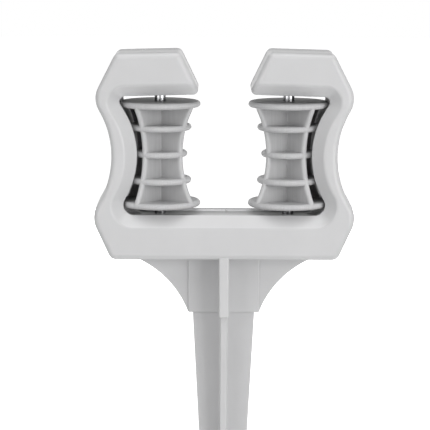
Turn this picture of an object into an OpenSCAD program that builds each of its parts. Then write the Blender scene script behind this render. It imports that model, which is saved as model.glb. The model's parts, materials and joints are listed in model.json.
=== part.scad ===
// Hose guide stake: a bevelled yoke head in two half shells, two finned
// hourglass rollers on steel pins, and a cruciform ground stake held in the
// collar below the head.
// X runs across the yoke, the front looks towards -Y, Z is up.
// The origin is the middle of the collar's lower rim, at the soil line.

/* [Rollers] */
// Distance between the two roller axes
roller_spacing = 69.6; // [66:0.2:80]
// Diameter over the end flanges
flange_d = 43.8; // [40:0.2:46]
// Diameter at the waist of the hourglass
waist_d = 29.6; // [25:0.2:31]
// Length over the end flanges
roller_l = 57.2; // [52:0.2:66]
// Distance between the middle ring and each outer ring
ring_pitch = 14.4; // [12:0.2:16]
// Thickness of the rings and flanges
ring_t = 3.3; // [2.6:0.1:4]
// Thickness of a fin at its rounded edge
fin_t = 3; // [2:0.1:4]
// Thickness of a fin where it meets its neighbours in a V
fin_root_t = 6.2; // [5.6:0.1:6.8]
// Diameter of the hub around the pin
hub_d = 8.2; // [7.6:0.1:9]
// Number of fins round the hub
fin_count = 4; // [3:1:6]
// Angle at which the left roller stands
left_turn = 54.4; // [0:0.1:90]
// Angle at which the right roller stands
right_turn = 35.6; // [0:0.1:90]

/* [Axle pins] */
// Diameter of the steel pin
pin_d = 6; // [5:0.1:6.6]
// Length of the pin held in the shells at each end
seat_depth = 12; // [8:0.5:15]
// Radial running clearance of the pin in its seats
pin_play = 0.08; // [0.05:0.01:0.15]
// End float of the pin between its two blind seats
pin_float = 0.3; // [0.2:0.05:0.6]
// Chamfer at the pin's ends
pin_chamfer = 0.6; // [0.3:0.1:1]

/* [Yoke head] */
// Width over the two lower noses
head_w = 140; // [134:0.2:150]
// Width over the two upper noses
head_top_w = 137.8; // [132:0.2:148]
// Width over the waist between the noses
head_waist_w = 121.2; // [120:0.2:126]
// Depth from front face to rear face
head_d = 40; // [38:0.5:46]
// Height of the base bar and of the arms
bar_h = 23.7; // [21:0.1:28]
// Gap between a roller's end and the bar or arm
end_gap = 3.5; // [2.5:0.1:6]
// Hose gap between the tips of the arms
tip_gap = 28.2; // [24:0.2:32]
// Lean of the arm tips from upright
tip_lean = 26; // [10:1:32]
// Lean of the arms, which rise towards their tips
arm_lean = 1.5; // [0:0.1:3]
// Radius of the arm tips' lower corner
tip_r = 2.8; // [2:0.1:5]
// Radius of the arm tips' upper corner
tip_top_r = 3.8; // [3.8:0.1:6]
// Radius of the lower noses
nose_r = 14.2; // [10:0.1:15]
// Radius of the upper noses
nose_top_r = 13.4; // [10:0.1:15]
// Radius of the hollow between two noses
hollow_r = 49; // [44:1:60]
// Lean of the upper flanks from upright
flank_top_lean = 27; // [20:1:35]
// Lean of the lower flanks from upright
flank_low_lean = 25; // [18:1:32]
// Radius of the head's upper corners
top_corner_r = 4; // [3.8:0.1:8]
// Radius of the head's lower corners
low_corner_r = 4.5; // [3.8:0.1:8]
// Radius of the yoke's inner corners under the arms
inner_top_r = 3; // [2:0.5:8]
// Radius of the yoke's inner corners over the base bar
inner_low_r = 5.5; // [3:0.5:8]
// How far the side limbs reach into the roller's outline at its waist
limb_reach = 2.6; // [1:0.1:3]
// Radius of the side limbs' bulge towards the rollers
limb_r = 46.6; // [42:0.2:56]

/* [Edges and groove] */
// Width of the 45 degree bevel round the inside of the yoke
bevel = 6.3; // [4:0.1:8]
// Radius of the rounded outer edge
edge_r = 3.5; // [1.5:0.1:3.7]
// Width of the flat lip behind the bevel
lip = 4.6; // [3:0.1:6]
// Depth of the groove between the two lips
groove = 1; // [0.5:0.1:1.5]
// Clearance between a roller and the scoop cut for it
roller_clear = 1; // [0.6:0.1:1.4]

/* [Shells] */
// Wall thickness of the two half shells
wall = 3; // [2:0.1:3.4]
// Wall beside the pins in their bearing blocks
block_wall = 3.6; // [2.5:0.1:4.5]
// Outer diameter of the screw bosses
boss_d = 8; // [7.4:0.1:9]

/* [Screws] */
// Diameter of the screw shank
screw_d = 3.5; // [3:0.1:4]
// How far in from the flanks the outermost screws stand
screw_inset = 13.9; // [12:0.1:15]
// Length of the screw under its head
screw_l = 18; // [14:0.5:22]
// Diameter of the screw head
screw_head_d = 6.6; // [6:0.1:7]
// Height of the screw head
screw_head_h = 2.4; // [2:0.1:3]
// Depth of rear shell left between a screw head and the parting plane
screw_grip = 8; // [5:0.5:10]
// Clearance round the screws in their holes
screw_play = 0.15; // [0.1:0.05:0.3]

/* [Collar and gussets] */
// Height of the collar below the head
collar_h = 31.8; // [26:0.2:40]
// Width across the collar's cross
collar_w = 38.8; // [36:0.2:40]
// Thickness of the collar's cross arms
collar_t = 5.4; // [5:0.1:7]
// Thickness of the gusset webs
gusset_t = 3; // [2.4:0.1:4.6]
// Half width reached by the gussets under the base bar
gusset_reach = 52.6; // [40:0.2:56]
// Radius of the gussets' hollow edge
gusset_r = 53.4; // [50:0.2:90]

/* [Ground stake] */
// Length of the stake below the soil line
stake_l = 215; // [160:5:300]
// Width of the stake's cross under the collar
stake_w = 33.8; // [32:0.2:35]
// Width of the stake's cross where its point begins
stake_end_w = 13.6; // [9:0.2:18]
// Thickness of the stake's blades
stake_t = 3.6; // [3:0.1:4.4]
// Length of the stake's point
point_l = 28; // [16:1:40]
// Width of the stake's blunt tip
tip_w = 2.4; // [1.6:0.1:4]
// How far the blades reach up into the collar's mouth
blade_seat = 3; // [1.5:0.5:6]
// Width of the tenon in the collar
tenon_w = 31.6; // [28:0.2:32]
// Thickness of the tenon's blades
tenon_t = 2.4; // [2:0.1:2.8]
// How far each hook of the tenon's head stands out over the collar
hook = 3.6; // [2:0.2:5]
// Height of the hooked head
hook_h = 5; // [3:0.2:5.5]
// Clearance round the tenon
tenon_play = 0.12; // [0.08:0.01:0.25]

/* [Hidden] */
$fn = 96;
moulded_grey = "#cbccce";
roller_grey = "#b9babd";
steel = "#8f9194";

axis_x = roller_spacing / 2;
flange_r = flange_d / 2;
waist_r = waist_d / 2;
pin_r = pin_d / 2;
half_open = roller_l / 2 + end_gap;
half_head = half_open + bar_h;
half_d = head_d / 2;
head_z = collar_h + half_head;
// How far a cut runs past a face, and a solid into the one that carries it
over = 1;

// The hourglass: one arc through the waist and the flanges' inner rims
flange_in = roller_l / 2 - ring_t;
glass_r = (pow(flange_in, 2) + pow(flange_r - waist_r, 2)) / 2 / (flange_r - waist_r);
function glass(z) = waist_r + glass_r - sqrt(pow(glass_r, 2) - pow(z, 2));

// Plane geometry of the head, in X and Z about the middle of the opening.
// A line is its outward normal's angle and its distance from the middle.
function ray(a) = [cos(a), sin(a)];
function arc(c, r, a1, a2, n) = [for (i = [0:n]) c + r * ray(a1 + (a2 - a1) * i / n)];
function crossing(n1, s1, n2, s2) =
    [s1 * n2.y - s2 * n1.y, n1.x * s2 - n2.x * s1] / (n1.x * n2.y - n1.y * n2.x);
function corner(a1, s1, a2, s2, r, n) =
    arc(crossing(ray(a1), s1 - r, ray(a2), s2 - r), r, a1, a2, n);
function mirrored(pts) = [for (i = [len(pts) - 1:-1:0]) [-pts[i].x, pts[i].y]];

hollow_c = [head_waist_w / 2 + hollow_r, 0];
function nose_centre(x, r) = [x, sqrt(pow(hollow_r + r, 2) - pow(hollow_c.x - x, 2))];
function hollow_turn(nose) = atan2(nose.y, hollow_c.x - nose.x);
top_nose = nose_centre(head_top_w / 2 - nose_top_r, nose_top_r);
low_nose = nose_centre(head_w / 2 - nose_r, nose_r);
top_turn = hollow_turn(top_nose);
low_turn = hollow_turn(low_nose);
limb_c = [axis_x + waist_r - limb_reach + limb_r, 0];
// The arms' faces rise towards the tips: the top from half_head over the
// roller axes, the underside from half_open at the side limbs
arm_normal = 90 - arm_lean;
top_line = ray(arm_normal) * [axis_x, half_head];
under_line = ray(arm_normal) * [limb_c.x - limb_r, half_open];
// Centre of an inner corner of radius r, r below the line with the normal a
// at the distance s from the middle, and touching the limb
function inner_centre(a, s, r) =
    let (k = s - r - ray(a) * limb_c)
    limb_c + k * ray(a) + sqrt(pow(limb_r + r, 2) - pow(k, 2)) * ray(a + 90);
inner_top = inner_centre(arm_normal, under_line, inner_top_r);
inner_low = inner_centre(90, half_open, inner_low_r);
function limb_turn(c) = atan2(c.y, limb_c.x - c.x);
inner_top_turn = limb_turn(inner_top);
inner_low_turn = limb_turn(inner_low);
tip_normal = 180 - tip_lean;
tip_x = tip_gap / 2 + tip_r;
tip_c = [tip_x, (under_line + tip_r - cos(arm_normal) * tip_x) / sin(arm_normal)];
min_r = 0.4;

// Steps of each arc of the outline
tip_n = 7;
corner_n = 4;
nose_n = 10;
hollow_n = 14;
inner_n = 8;

// Right half of the outline from the arm tip round to the base bar, taken in
// by o on the outer side and by b on the side that faces the rollers
function outer_half(o, b) =
    let (tip_s = ray(tip_normal) * tip_c + tip_r - o,
         top_s = top_line - o,
         flank_top_s = ray(flank_top_lean) * top_nose + nose_top_r - o,
         flank_low_s = ray(flank_low_lean) * low_nose + nose_r - o)
    concat(
        corner(arm_normal + 180, -under_line - b, tip_normal, tip_s, tip_r, tip_n),
        corner(tip_normal, tip_s, arm_normal, top_s, max(tip_top_r - o, min_r), corner_n),
        corner(arm_normal, top_s, flank_top_lean, flank_top_s, top_corner_r - o, corner_n),
        arc(top_nose, nose_top_r - o, flank_top_lean, -top_turn, nose_n),
        [for (i = [1:hollow_n - 1])
            hollow_c + (hollow_r + o) * ray(180 - top_turn + (top_turn + low_turn) * i / hollow_n)],
        arc([low_nose.x, -low_nose.y], nose_r - o, low_turn, -flank_low_lean, nose_n),
        corner(-flank_low_lean, flank_low_s, -90, half_head - o, low_corner_r - o, corner_n));
function inner_half(b) = concat(
    arc(inner_top, inner_top_r + b, arm_normal, -inner_top_turn, inner_n),
    [for (i = [1:hollow_n - 1])
        limb_c + (limb_r - b)
            * ray(180 - inner_top_turn + (inner_top_turn + inner_low_turn) * i / hollow_n)],
    arc([inner_low.x, -inner_low.y], inner_low_r + b, inner_low_turn, -90, inner_n));
function outline(o, b) = concat(outer_half(o, b), mirrored(outer_half(o, b)),
                                inner_half(b), mirrored(inner_half(b)));

outer_count = len(outer_half(0, 0));
inner_count = len(inner_half(0));
ring_n = 2 * (outer_count + inner_count);
// Order of a ring's points: round the outside, then back along the inside
loop_order = concat([for (i = [0:2 * outer_count - 1]) i],
                    [for (i = [ring_n - 1:-1:2 * outer_count]) i]);

// Triangles between two rows of points that run side by side
function strip(p, q, i = 0, j = 0) =
    let (m = len(p) - 1, n = len(q) - 1)
    i >= m && j >= n ? [] :
    let (step_p = j >= n || (i < m && (i + 1) * n <= (j + 1) * m))
    concat([step_p ? [p[i], p[i + 1], q[j]] : [p[i], q[j + 1], q[j]]],
           strip(p, q, i + (step_p ? 1 : 0), j + (step_p ? 0 : 1)));
function span(from, to) = [for (i = [from:to]) i];
function opposite(row, first, count) = [for (i = [len(row) - 1:-1:0])
                                        first + count - 1 - (row[i] - first)];

// Half of the flat face: the arm is a fan, then nose, hollow and nose face
// the inner corner, limb and inner corner, and the base bar's end is a fan
q0 = 2 * outer_count;
arm_end = tip_n + 2 * corner_n + 3;
hollow_start = arm_end + nose_n;
hollow_end = hollow_start + hollow_n;
low_end = hollow_end + nose_n;
half_rows = [
    [span(0, arm_end), [q0]],
    [span(arm_end, hollow_start), span(q0, q0 + inner_n)],
    [span(hollow_start, hollow_end), span(q0 + inner_n, q0 + inner_n + hollow_n)],
    [span(hollow_end, low_end), span(q0 + inner_n + hollow_n, q0 + inner_count - 1)],
    [span(low_end, outer_count - 1), [q0 + inner_count - 1]]];
function face_half(rows) = [for (r = rows) each strip(r[0], r[1])];
left_rows = [for (r = half_rows) [opposite(r[0], 0, 2 * outer_count),
                                  opposite(r[1], q0, 2 * inner_count)]];
bridge = strip([outer_count - 1, outer_count], [q0 + inner_count - 1, q0 + inner_count]);
flat_face = concat(face_half(half_rows), bridge, face_half(left_rows));

// Steps back from the front face: [depth, outer inset, inner inset]
edge_steps = 4;
levels = concat(
    [for (i = [0:edge_steps])
        let (a = 90 * i / edge_steps, depth = edge_r * (1 - cos(a)))
        [depth, edge_r * (1 - sin(a)), bevel - depth]],
    [[bevel, 0, 0], [bevel + lip, 0, 0], [bevel + lip + groove, 0, groove],
     [half_d, 0, groove]]);

module half_head_solid() {
    points = [for (l = levels) each [for (p = outline(l[1], l[2]))
                                     [p.x, l[0] - half_d, p.y + head_z]]];
    last = len(levels) - 1;
    sides = [for (k = [0:last - 1]) each [for (i = [0:ring_n - 1])
        let (a = loop_order[i] + k * ring_n,
             b = loop_order[(i + 1) % ring_n] + k * ring_n)
        each [[a, a + ring_n, b + ring_n], [a, b + ring_n, b]]]];
    back = [for (t = flat_face) [t[2], t[1], t[0]] + last * ring_n * [1, 1, 1]];
    polyhedron(points, concat(flat_face, sides, back), convexity = 8);
}

// Screws: one over the tenon's head in the base bar, two in each arm and one
// in each end of the base bar, all in the flat of the rear face
boss_r = boss_d / 2;
flat_z = half_open + (bar_h + bevel - edge_r) / 2;
tenon_top = collar_h + wall + tenon_play;
middle_screw_z = tenon_top + hook_h + boss_r + tenon_play - head_z;
block_r = pin_r + block_wall;
function flank_x(nose, r, lean) = (ray(lean) * nose + r - flat_z * sin(lean)) / cos(lean);
outer_screw_x = min(flank_x(top_nose, nose_top_r, flank_top_lean),
                    flank_x(low_nose, nose_r, flank_low_lean)) - screw_inset;
screw_places = [
    [0, middle_screw_z],
    for (side = [-1, 1]) each [
        [side * outer_screw_x, flat_z],
        [side * outer_screw_x, -flat_z],
        [side * (axis_x - block_r - screw_d / 2), flat_z]]];

// The hollow inside a half shell, with the screw bosses and the pins' bearing
// blocks left standing
limb_wall = limb_reach + roller_clear + wall;
module cavity() {
    block_h = half_open + seat_depth + wall;
    translate([0, 0, head_z]) rotate([90, 0, 0]) linear_extrude(half_d - wall)
        difference() {
            points = outline(wall, limb_wall);
            polygon([for (i = loop_order) points[i]]);
            for (side = [-1, 1])
                translate([side * axis_x, 0]) square([2 * block_r, 2 * block_h], center = true);
            for (p = screw_places) translate(p) circle(boss_r);
        }
}

// The space a roller needs, its own outline grown by the clearance
module scoop() {
    steps = 12;
    r_out = flange_r + roller_clear;
    z_in = flange_in - roller_clear;
    z_out = roller_l / 2 + roller_clear;
    rotate_extrude() polygon(concat(
        [[0, -z_out], [r_out, -z_out], [r_out, -z_in]],
        [for (i = [1 - steps:steps - 1]) let (z = z_in * i / steps)
            [glass(z) + roller_clear, z]],
        [[r_out, z_in], [r_out, z_out], [0, z_out]]));
}

// Collar and gussets in front of the parting plane
module half_collar() {
    half_w = collar_w / 2;
    top = collar_h + wall / 2;
    chord = [gusset_reach, collar_h] - [half_w, 0];
    reach = sqrt(pow(gusset_r, 2) - pow(norm(chord) / 2, 2));
    centre = [half_w, 0] + chord / 2 + reach * [chord.y, -chord.x] / norm(chord);
    translate([-half_w, -collar_t / 2, 0]) cube([collar_w, collar_t / 2, top]);
    translate([-collar_t / 2, -half_w, 0]) cube([collar_t, half_w, top]);
    rotate([90, 0, 0]) linear_extrude(gusset_t / 2) difference() {
        polygon([[-gusset_reach, top], [-gusset_reach, collar_h], [-half_w, 0],
                 [half_w, 0], [gusset_reach, collar_h], [gusset_reach, top]]);
        for (side = [-1, 1]) translate([side * centre.x, centre.y]) circle(gusset_r);
    }
}

// The cross-shaped hole for the tenon, up through the base bar's lower wall,
// wider in the collar's mouth, where the blades themselves are seated
module socket() {
    cross_hole(tenon_w, tenon_t, collar_h + wall + over);
    cross_hole(stake_w, stake_t, blade_seat);
}

module cross_hole(width, thickness, top) {
    w = width + 2 * tenon_play;
    t = thickness + 2 * tenon_play;
    translate([-w / 2, -t / 2, -over]) cube([w, t, top + over]);
    translate([-t / 2, -w / 2, -over]) cube([t, w, top + over]);
}

module half_shell() {
    difference() {
        union() {
            half_head_solid();
            half_collar();
        }
        cavity();
        socket();
        for (side = [-1, 1]) translate([side * axis_x, 0, head_z]) {
            scoop();
            cylinder(r = pin_r + pin_play, h = 2 * (half_open + seat_depth), center = true);
        }
    }
}

module front_shell() {
    pilot_r = screw_d / 2 + screw_play;
    tip_room = 1;
    depth = screw_l - screw_grip + tip_room;
    color(moulded_grey) difference() {
        half_shell();
        for (p = screw_places)
            translate([p.x, over, head_z + p.y]) rotate([90, 0, 0])
                cylinder(r = pilot_r, h = depth + over);
    }
}

module rear_shell() {
    hole_r = screw_d / 2 + screw_play;
    head_r = screw_head_d / 2 + screw_play;
    color(moulded_grey) difference() {
        mirror([0, 1, 0]) half_shell();
        for (p = screw_places) translate([p.x, 0, head_z + p.y]) rotate([-90, 0, 0]) {
            translate([0, 0, -over]) cylinder(r = hole_r, h = half_d);
            translate([0, 0, screw_grip]) cylinder(r = head_r, h = half_d);
        }
    }
}

module shell_screws() {
    slot_w = screw_d / 4;
    slot_floor = screw_head_h / 2;
    color(steel) for (p = screw_places)
        translate([p.x, screw_grip, head_z + p.y]) rotate([-90, 0, 0]) difference() {
            union() {
                cylinder(r = screw_head_d / 2, h = screw_head_h);
                translate([0, 0, -screw_l]) cylinder(r = screw_d / 2, h = screw_l);
            }
            for (turn = [0, 90]) rotate(turn)
                translate([-screw_d / 2, -slot_w / 2, slot_floor])
                    cube([screw_d, slot_w, screw_head_h]);
        }
}

// Half outline of a disc with a fully rounded rim, from the hub out
rim_steps = 6;
function disc_profile(z, r) = concat(
    [[hub_d / 2, z - ring_t / 2]],
    arc([r - ring_t / 2, z], ring_t / 2, -90, 90, rim_steps),
    [[hub_d / 2, z + ring_t / 2]]);
disc_z = [-flange_in - ring_t / 2, -ring_pitch, 0, ring_pitch, flange_in + ring_t / 2];
function disc_r(z) = abs(z) > flange_in ? flange_r : glass(z);

// Section of the fins at one height: each fin narrows to its rounded edge,
// and its faces nearly meet those of its neighbours in a V over the hub
fin_rim_steps = 4;
fin_join = 0.1;
fin_root = fin_root_t / 2 / tan(180 / fin_count) + fin_join;
function fin_section(r) = [for (k = [0:fin_count - 1]) each
    let (a = 360 * k / fin_count, c = r - fin_t / 2)
    concat(
        [fin_root * ray(a) + fin_root_t / 2 * ray(a - 90)],
        arc(c * ray(a), fin_t / 2, a - 90, a + 90, fin_rim_steps),
        [fin_root * ray(a) + fin_root_t / 2 * ray(a + 90)])];

// The fins from flange to flange, drawn in along the hourglass arc
module fins() {
    steps = 20;
    per_fin = fin_rim_steps + 3;
    count = per_fin * fin_count;
    reach = flange_in + ring_t / 4;
    points = [for (i = [0:steps]) let (z = flange_in * (2 * i / steps - 1),
                                       zz = i == 0 || i == steps ? sign(z) * reach : z)
              each [for (p = fin_section(glass(z))) [p.x, p.y, zz]]];
    sides = [for (i = [0:steps - 1]) each [for (j = [0:count - 1])
        let (a = i * count + j, b = i * count + (j + 1) % count)
        each [[a, a + count, b + count], [a, b + count, b]]]];
    root = [for (k = [0:fin_count - 1]) each [k * per_fin, (k + 1) * per_fin - 1]];
    low = concat(
        [for (k = [1:len(root) - 2]) [root[0], root[k], root[k + 1]]],
        [for (k = [0:fin_count - 1]) each [for (j = [1:per_fin - 2])
            [k * per_fin, k * per_fin + j, k * per_fin + j + 1]]]);
    high = [for (t = low) [t[2], t[1], t[0]] + steps * count * [1, 1, 1]];
    polyhedron(points, concat(sides, low, high), convexity = 8);
}

module roller() {
    end = roller_l / 2;
    profile = concat([[pin_r, -end]], [for (z = disc_z) each disc_profile(z, disc_r(z))],
                     [[pin_r, end]]);
    difference() {
        union() {
            rotate_extrude() polygon(profile);
            fins();
        }
        cylinder(r = pin_r, h = 2 * roller_l, center = true);
    }
}

module left_roller() {
    color(roller_grey) translate([-axis_x, 0, head_z]) rotate(left_turn) roller();
}

module right_roller() {
    color(roller_grey) translate([axis_x, 0, head_z]) rotate(right_turn) roller();
}

// A pin stands on the floor of its lower seat's float and has chamfered ends
module axle_pin() {
    end = half_open + seat_depth - pin_float / 2;
    rotate_extrude() polygon([
        [0, -end], [pin_r - pin_chamfer, -end], [pin_r, pin_chamfer - end],
        [pin_r, end - pin_chamfer], [pin_r - pin_chamfer, end], [0, end]]);
}

module left_axle_pin() {
    color(steel) translate([-axis_x, 0, head_z]) axle_pin();
}

module right_axle_pin() {
    color(steel) translate([axis_x, 0, head_z]) axle_pin();
}

// One blade of the stake, a flat outline in X and Z: tapered from the soil
// line down, and straight where it is seated in the collar
module blade_outline() {
    shoulder = stake_l - point_l;
    polygon([[-stake_w / 2, blade_seat], [-stake_w / 2, 0], [-stake_end_w / 2, -shoulder],
             [-tip_w / 2, -stake_l], [tip_w / 2, -stake_l], [stake_end_w / 2, -shoulder],
             [stake_w / 2, 0], [stake_w / 2, blade_seat]]);
}

module upright_plate(t) {
    translate([0, t / 2, 0]) rotate([90, 0, 0]) linear_extrude(t) children();
}

module ground_stake() {
    color(moulded_grey) union() {
        for (turn = [0, 90]) rotate(turn) {
            upright_plate(stake_t) blade_outline();
            upright_plate(tenon_t) translate([-tenon_w / 2, blade_seat - over])
                square([tenon_w, tenon_top - blade_seat + over]);
        }
        upright_plate(tenon_t) translate([-tenon_w / 2 - hook, tenon_top])
            square([tenon_w + 2 * hook, hook_h]);
    }
}

front_shell();
rear_shell();
left_roller();
right_roller();
left_axle_pin();
right_axle_pin();
ground_stake();
shell_screws();
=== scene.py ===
import json
import math

import bmesh
import bpy
from bpy.props import FloatProperty, FloatVectorProperty, PointerProperty
from mathutils import Matrix, Vector


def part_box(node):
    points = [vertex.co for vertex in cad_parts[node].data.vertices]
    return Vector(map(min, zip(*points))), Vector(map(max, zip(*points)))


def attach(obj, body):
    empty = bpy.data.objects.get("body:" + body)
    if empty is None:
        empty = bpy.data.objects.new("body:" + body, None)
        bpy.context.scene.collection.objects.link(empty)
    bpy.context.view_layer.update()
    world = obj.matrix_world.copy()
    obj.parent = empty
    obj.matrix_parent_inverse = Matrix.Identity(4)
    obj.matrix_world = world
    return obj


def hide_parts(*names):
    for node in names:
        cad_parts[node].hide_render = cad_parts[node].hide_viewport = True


bl_info = {
    "name": "Hose guide stake",
    "version": (1, 0, 0),
    "blender": (4, 5, 0),
    "location": "3D View > Sidebar > Hose Guide",
    "description": "Moulded yoke shells, finned hourglass rollers, pins and ground stake of a hose guide",
    "category": "Object",
}

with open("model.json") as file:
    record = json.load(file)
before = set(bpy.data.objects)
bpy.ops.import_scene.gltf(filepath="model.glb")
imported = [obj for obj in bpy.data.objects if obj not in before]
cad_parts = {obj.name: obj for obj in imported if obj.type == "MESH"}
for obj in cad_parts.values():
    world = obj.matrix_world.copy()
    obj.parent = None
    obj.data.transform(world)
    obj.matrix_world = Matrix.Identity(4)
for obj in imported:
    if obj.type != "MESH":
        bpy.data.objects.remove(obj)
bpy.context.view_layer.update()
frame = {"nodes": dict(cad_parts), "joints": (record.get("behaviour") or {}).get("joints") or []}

# Places and sizes taken from the frame
SHELL_LOW, SHELL_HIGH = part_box("front_shell")
ROLLER_LOW, ROLLER_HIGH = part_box("left_roller")
PIN_LOW, PIN_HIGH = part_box("left_axle_pin")
STAKE_LOW, STAKE_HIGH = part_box("ground_stake")
AXES = {joint["child"]: Vector(joint["pos_m"]) for joint in frame["joints"]}
AXIS_X = AXES["right_roller_set"].x
HEAD_Z = AXES["right_roller_set"].z
HALF_DEPTH = (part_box("rear_shell")[1].y - SHELL_LOW.y) / 2
ROLLER_LENGTH = ROLLER_HIGH.z - ROLLER_LOW.z
FLANGE_R = (ROLLER_HIGH.y - ROLLER_LOW.y) / 2
PIN_R = (PIN_HIGH.y - PIN_LOW.y) / 2

# Small distances in metres
MM = 0.001
PIN_PLAY = 0.00008      # round a pin in its seat
PIN_FLOAT = 0.00015     # beyond each end of a pin
SCREW_PLAY = 0.00015    # round a screw's head in its recess
RECESS_FLOOR = 0.018    # along Y from the screws' tips to the floor of their recesses
PARTING_GAP = 0.00004   # between each half of the collar and the parting plane
OVERLAP = 0.002         # how far a solid reaches past the parting plane before it is cut there
CREST_R = 0.0004        # radius that eases the crest between the bevel and the lip
FADE = 0.0001           # width over which a tone fades out beside its place

# The gate mark: its distance from the middle, and its profile's points of radius and height
GATE_X = 0.0015
GATE_PROFILE = [(0, -0.001), (0.0008, -0.001), (0.0008, 0.0003), (0.0006, 0.0006), (0, 0.0007)]


# Short ways to declare a property

def length(label, what, default):
    return FloatProperty(name=label, description=what, default=default, unit="LENGTH")


def angle(label, what, degrees):
    return FloatProperty(name=label, description=what, default=math.radians(degrees), unit="ROTATION")


def tint(label, what, grey):
    return FloatVectorProperty(name=label, description=what, default=grey, subtype="COLOR", min=0, max=1)


def strength(label, what, default):
    return FloatProperty(name=label, description=what, default=default, min=0)


def tone(label, what, default):
    return FloatProperty(name=label, description=what, default=default, min=0, max=2)


class YokeSizes(bpy.types.PropertyGroup):
    """Sizes of the two shells of the yoke"""
    top_w: length("Upper width", "Width over the two upper noses", 0.1378)
    waist_w: length("Waist width", "Width over the waist between the noses", 0.1212)
    bar_h: length("Bar height", "Height of the base bar and of the arms", 0.0237)
    nose_r: length("Lower nose radius", "Radius of the two lower noses", 0.0142)
    nose_top_r: length("Upper nose radius", "Radius of the two upper noses", 0.0134)
    hollow_r: length("Hollow radius", "Radius of the hollow between two noses", 0.049)
    flank_top: angle("Upper flank lean", "Lean of the upper flanks from upright", 27)
    flank_low: angle("Lower flank lean", "Lean of the lower flanks from upright", 25)
    top_corner_r: length("Upper corner radius", "Radius of the head's upper corners", 0.004)
    low_corner_r: length("Lower corner radius", "Radius of the head's lower corners", 0.0045)
    inner_top_r: length("Inner upper radius", "Radius of the inner corners under the arms", 0.003)
    inner_low_r: length("Inner lower radius", "Radius of the inner corners over the base bar", 0.0055)
    limb_reach: length("Limb reach", "How far the limbs reach into the roller's outline", 0.0026)
    rear_reach: length("Rear limb reach", "How much further the rear shell's limbs reach", 0.0011)
    limb_r: length("Limb radius", "Radius of the limbs' bulge towards the rollers", 0.0466)
    tip_gap: length("Hose gap", "Gap between the tips of the arms", 0.0282)
    tip_lean: angle("Tip lean", "Lean of the arm tips from upright", 26)
    arm_lean: angle("Arm lean", "Rise of the arms towards their tips", 1.5)
    tip_r: length("Tip radius", "Radius of the arm tips' lower corners", 0.0028)
    tip_top_r: length("Tip top radius", "Radius of the arm tips' upper corners", 0.0038)
    tip_sharpen: FloatProperty(name="Tip sharpening", description="How much the tips' lower corners "
                               "tighten for each unit of the bevel", default=0.2)
    groove_end: length("Groove end", "Where the groove ends beside the tips' lower corners", 0.0085)
    groove_fade: length("Groove fade", "Length over which the groove runs out", 0.0015)
    bevel: length("Bevel", "Width of the 45 degree bevel inside the yoke", 0.0063)
    bevel_blend: length("Bevel blend", "Radius that blends the bevel into the face", 0.0026)
    edge_r: length("Edge radius", "Radius of the rounded outer edge", 0.0035)
    lip: length("Lip", "Width of the flat lip behind the bevel", 0.0046)
    groove: length("Groove", "Depth of the groove between the lips", 0.001)
    groove_step: length("Groove step", "Slope of the groove's side walls", 0.0009)
    seam: length("Seam", "Break of the edges along the parting line", 0.00015)
    roller_clear: length("Roller clearance", "Clearance of the scoops cut for the rollers", 0.001)
    wall: length("Wall", "Wall of the shells", 0.003)
    block_wall: length("Block wall", "Wall of the bearing blocks beside the pins", 0.0036)
    boss_r: length("Boss radius", "Radius of the screw bosses inside the shells", 0.004)
    collar_h: length("Collar height", "Height of the collar below the head", 0.0318)
    collar_w: length("Collar width", "Width across the collar's cross", 0.0388)
    collar_t: length("Collar arm", "Thickness of the collar's cross arms", 0.0054)
    gusset_t: length("Gusset", "Thickness of the gusset webs", 0.003)
    gusset_reach: length("Gusset reach", "Half width reached by the gussets", 0.0526)
    gusset_r: length("Gusset radius", "Radius of the gussets' hollow edge", 0.0534)
    edge_break: length("Edge break", "Rounding of the collar's and gussets' edges", 0.0005)
    rear_rounding: FloatProperty(name="Rear corner rounding", description="How much rounder the rear shell's "
                                 "lower inner corners are, for each unit of its further reach", default=2.5)
    # Painted shade: a darker colour on faces that lie level and look up
    level_painted_shade: tone("Level faces", "Factor on the colour of faces that lie level and look up", 0.84)
    # Painted light: a paler colour on bevels and rounded edges that lean up or down
    slope_painted_light: tone("Slopes", "Factor on the colour of bevels and rounded edges that lean up or down", 1.12)
    # Painted highlight: a paler colour on the groove's walls over the base bar
    wall_painted_highlight: tone("Groove walls", "Factor on the colour of the groove's walls over the base bar", 1.45)


class RollerSizes(bpy.types.PropertyGroup):
    """Sizes of the two finned rollers"""
    waist_d: length("Waist", "Diameter at the waist", 0.0296)
    ring_pitch: length("Ring pitch", "Distance between two rings", 0.0144)
    ring_t: length("Ring", "Thickness of rings and flanges", 0.0033)
    fin_t: length("Fin edge", "Thickness of a fin at its rounded edge", 0.003)
    fin_root_t: length("Fin root", "Thickness of a fin where it meets its neighbours in a V", 0.0062)
    hub_d: length("Hub", "Diameter of the hub", 0.0082)
    # Painted shade: a darker colour in the pockets between the fins and on the flanges' flat ends
    pocket_painted_shade: tone("Pockets", "Factor on the colour of the pockets between the fins", 0.8)
    end_painted_shade: tone("Flange ends", "Factor on the colour of the flat ends of the flanges", 0.6)
    left_turn: angle("Left turn", "Angle at which the left roller stands", 54.4)
    right_turn: angle("Right turn", "Angle at which the right roller stands", 35.6)


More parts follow.
